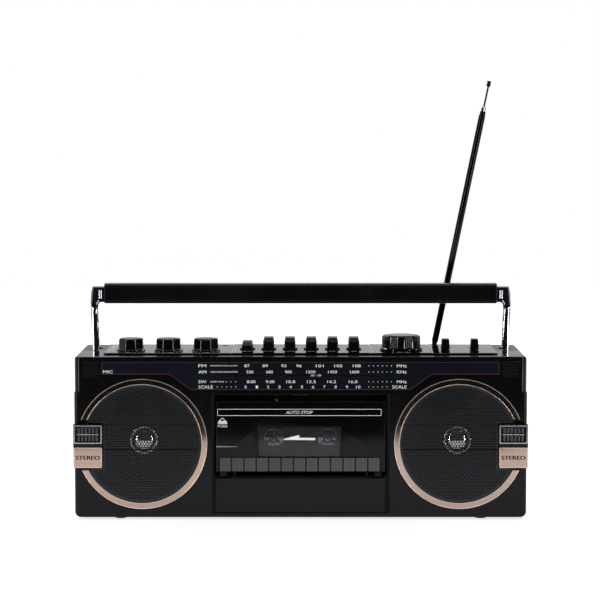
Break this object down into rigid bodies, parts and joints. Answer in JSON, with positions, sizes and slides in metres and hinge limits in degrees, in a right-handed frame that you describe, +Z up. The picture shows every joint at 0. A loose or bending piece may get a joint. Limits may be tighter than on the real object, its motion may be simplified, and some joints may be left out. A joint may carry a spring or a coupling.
{
  "type": "radio-cassette recorder",
  "caption": "Portable stereo radio-cassette recorder with round speakers, a front tape door, top controls, a folding carry handle and a telescopic aerial.",
  "frame": {"origin": "middle of the footprint, on the plane of the feet, measured over the whole part at rest", "axes": "+X towards the listener's right along the front, +Y towards the back, +Z up"},
  "size_m": [0.3556, 0.096, 0.3453],
  "materials": {
    "case_black": "satin, fine moulded grain",
    "control_black": "satin",
    "gloss_black": "polished",
    "dial_black": "polished, near-black navy",
    "pointer_white": "satin",
    "smoked_clear": "clear, lightly smoked plastic",
    "rubber": "matt",
    "copper_trim": "brushed, anodised pale copper, with polished edges",
    "grille_metal": "black, perforated",
    "basket_steel": "plain zinc-plated sheet",
    "cone_paper": "pressed dark paper",
    "bright_chrome": "bright plated",
    "black_chrome": "dark bright plating",
    "brass": "turned",
    "board_green": "laminate"
  },
  "bodies": {
    "case": {"front_shell": "case_black", "rear_shell": "case_black", "lower_trim_panel": "case_black", "dial_backplate": "case_black", "control_panel": "gloss_black", "tweeter_block_left": "gloss_black", "tweeter_block_right": "gloss_black", "dial_window": "dial_black", "rubber_foot_front_left": "rubber", "rubber_foot_front_right": "rubber", "rubber_foot_rear_left": "rubber", "rubber_foot_rear_right": "rubber", "drive_belt": "rubber", "trim_ring_left": "copper_trim", "trim_ring_right": "copper_trim", "badge_plate_left": "copper_trim", "badge_plate_right": "copper_trim", "speaker_grille_left": "grille_metal", "speaker_grille_right": "grille_metal", "woofer_basket_left": "basket_steel", "woofer_basket_right": "basket_steel", "deck_plate": "basket_steel", "drive_motor": "basket_steel", "woofer_cone_left": "cone_paper", "woofer_cone_right": "cone_paper", "dust_cap_left": "bright_chrome", "dust_cap_right": "bright_chrome", "circuit_board": "board_green"},
    "cassette_door": {"cassette_door": "gloss_black", "door_window": "smoked_clear", "cassette_holder": "case_black"},
    "handle": {"handle_grip": "case_black", "handle_arm_left": "bright_chrome", "handle_arm_right": "bright_chrome", "handle_pin_left": "basket_steel", "handle_pin_right": "basket_steel"},
    "battery_door": {"battery_door": "case_black"},
    "pause_key": {"pause_key": "control_black"},
    "stop_eject_key": {"stop_eject_key": "control_black"},
    "fast_forward_key": {"fast_forward_key": "control_black"},
    "rewind_key": {"rewind_key": "control_black"},
    "play_key": {"play_key": "control_black"},
    "record_key": {"record_key": "control_black"},
    "volume_knob": {"volume_knob": "gloss_black"},
    "balance_knob": {"balance_knob": "gloss_black"},
    "tone_knob": {"tone_knob": "gloss_black"},
    "tuning_knob": {"tuning_knob": "gloss_black"},
    "dial_pointer": {"dial_pointer": "pointer_white"},
    "function_switch": {"function_switch": "control_black"},
    "band_switch": {"band_switch": "control_black"},
    "aerial_swivel": {"aerial_swivel": "bright_chrome"},
    "aerial_tube": {"aerial_tube": "black_chrome"},
    "aerial_section": {"aerial_section": "bright_chrome"},
    "aerial_rod": {"aerial_rod": "bright_chrome"},
    "supply_spindle": {"supply_spindle": "basket_steel"},
    "takeup_spindle": {"takeup_spindle": "basket_steel"},
    "capstan_flywheel": {"capstan_flywheel": "brass"},
    "motor_pulley": {"motor_pulley": "brass"},
    "head_bridge": {"head_bridge": "basket_steel"},
    "pinch_roller": {"pinch_roller": "rubber"}
  },
  "joints": [
    {"name": "cassette_door_hinge", "type": "hinge", "parent": "case", "child": "cassette_door", "pos_m": [0, -0.0406, 0.0348], "axis": [1, 0, 0], "range_deg": [0, 38]},
    {"name": "battery_door_hinge", "type": "hinge", "parent": "case", "child": "battery_door", "pos_m": [0, 0.0476, 0.0069], "axis": [-1, 0, 0], "range_deg": [0, 100]},
    {"name": "handle_hinge", "type": "hinge", "parent": "case", "child": "handle", "pos_m": [0, 0.015, 0.1268], "axis": [1, 0, 0], "range_deg": [-19, 47]},
    {"name": "aerial_swivel_turn", "type": "hinge", "parent": "case", "child": "aerial_swivel", "pos_m": [0.1089, 0.0435, 0.1228], "axis": [0, 0, 1], "range_deg": [-90, 90]},
    {"name": "aerial_tilt", "type": "hinge", "parent": "aerial_swivel", "child": "aerial_tube", "pos_m": [0.1089, 0.0435, 0.1248], "axis": [0, 1, 0], "range_deg": [-101, 43]},
    {"name": "aerial_section_slide", "type": "slide", "parent": "aerial_tube", "child": "aerial_section", "axis": [0.1994, 0, 0.9799], "range_m": [-0.004, 0.165]},
    {"name": "aerial_rod_slide", "type": "slide", "parent": "aerial_section", "child": "aerial_rod", "axis": [0.1994, 0, 0.9799], "range_m": [-0.0135, 0.16]},
    {"name": "pause_key_press", "type": "slide", "parent": "case", "child": "pause_key", "axis": [0, 0, 1], "range_m": [0, 0.003]},
    {"name": "stop_eject_key_press", "type": "slide", "parent": "case", "child": "stop_eject_key", "axis": [0, 0, 1], "range_m": [-0.0035, 0], "stiffness_N_per_m": 300, "springref_m": 0.003},
    {"name": "fast_forward_key_press", "type": "slide", "parent": "case", "child": "fast_forward_key", "axis": [0, 0, 1], "range_m": [-0.0035, 0], "stiffness_N_per_m": 300, "springref_m": 0.003},
    {"name": "rewind_key_press", "type": "slide", "parent": "case", "child": "rewind_key", "axis": [0, 0, 1], "range_m": [-0.0035, 0], "stiffness_N_per_m": 300, "springref_m": 0.003},
    {"name": "play_key_press", "type": "slide", "parent": "case", "child": "play_key", "axis": [0, 0, 1], "range_m": [-0.0035, 0], "stiffness_N_per_m": 300, "springref_m": 0.003},
    {"name": "record_key_press", "type": "slide", "parent": "case", "child": "record_key", "axis": [0, 0, 1], "range_m": [-0.0035, 0], "stiffness_N_per_m": 300, "springref_m": 0.003},
    {"name": "volume_knob_turn", "type": "hinge", "parent": "case", "child": "volume_knob", "pos_m": [-0.1347, -0.012, 0.135], "axis": [0, 0, 1], "range_deg": [-150, 150]},
    {"name": "balance_knob_turn", "type": "hinge", "parent": "case", "child": "balance_knob", "pos_m": [-0.105, -0.012, 0.135], "axis": [0, 0, 1], "range_deg": [-150, 150]},
    {"name": "tone_knob_turn", "type": "hinge", "parent": "case", "child": "tone_knob", "pos_m": [-0.0752, -0.012, 0.135], "axis": [0, 0, 1], "range_deg": [-150, 150]},
    {"name": "tuning_knob_turn", "type": "hinge", "parent": "case", "child": "tuning_knob", "pos_m": [0.0804, -0.0025, 0.135], "axis": [0, 0, 1], "range_deg": [-124.5, 212]},
    {"name": "dial_pointer_travel", "type": "slide", "parent": "case", "child": "dial_pointer", "axis": [1, 0, 0], "range_m": [-0.0556, 0.0327]},
    {"name": "function_switch_slide", "type": "slide", "parent": "case", "child": "function_switch", "axis": [0, 1, 0], "range_m": [0, 0.01]},
    {"name": "band_switch_slide", "type": "slide", "parent": "case", "child": "band_switch", "axis": [0, 1, 0], "range_m": [0, 0.01]},
    {"name": "supply_spindle_spin", "type": "hinge", "parent": "case", "child": "supply_spindle", "pos_m": [0.02125, -0.03, 0.0623], "axis": [0, 1, 0], "continuous": true},
    {"name": "takeup_spindle_spin", "type": "hinge", "parent": "case", "child": "takeup_spindle", "pos_m": [-0.02125, -0.03, 0.0623], "axis": [0, 1, 0], "continuous": true},
    {"name": "capstan_spin", "type": "hinge", "parent": "case", "child": "capstan_flywheel", "pos_m": [-0.019, -0.018, 0.0938], "axis": [0, 1, 0], "continuous": true},
    {"name": "motor_pulley_spin", "type": "hinge", "parent": "case", "child": "motor_pulley", "pos_m": [0.035, -0.018, 0.0763], "axis": [0, 1, 0], "continuous": true},
    {"name": "head_bridge_drop", "type": "slide", "parent": "case", "child": "head_bridge", "axis": [0, 0, 1], "range_m": [-0.0015, 0]},
    {"name": "pinch_roller_spin", "type": "hinge", "parent": "head_bridge", "child": "pinch_roller", "pos_m": [-0.019, -0.032, 0.1016], "axis": [0, 1, 0], "continuous": true}
  ],
  "couplings": [
    {"joint": "dial_pointer_travel", "follows": "tuning_knob_turn", "m_per_rad": -0.015},
    {"joint": "motor_pulley_spin", "follows": "capstan_spin", "ratio": 4},
    {"joint": "head_bridge_drop", "follows": "play_key_press", "ratio": 0.4}
  ]
}
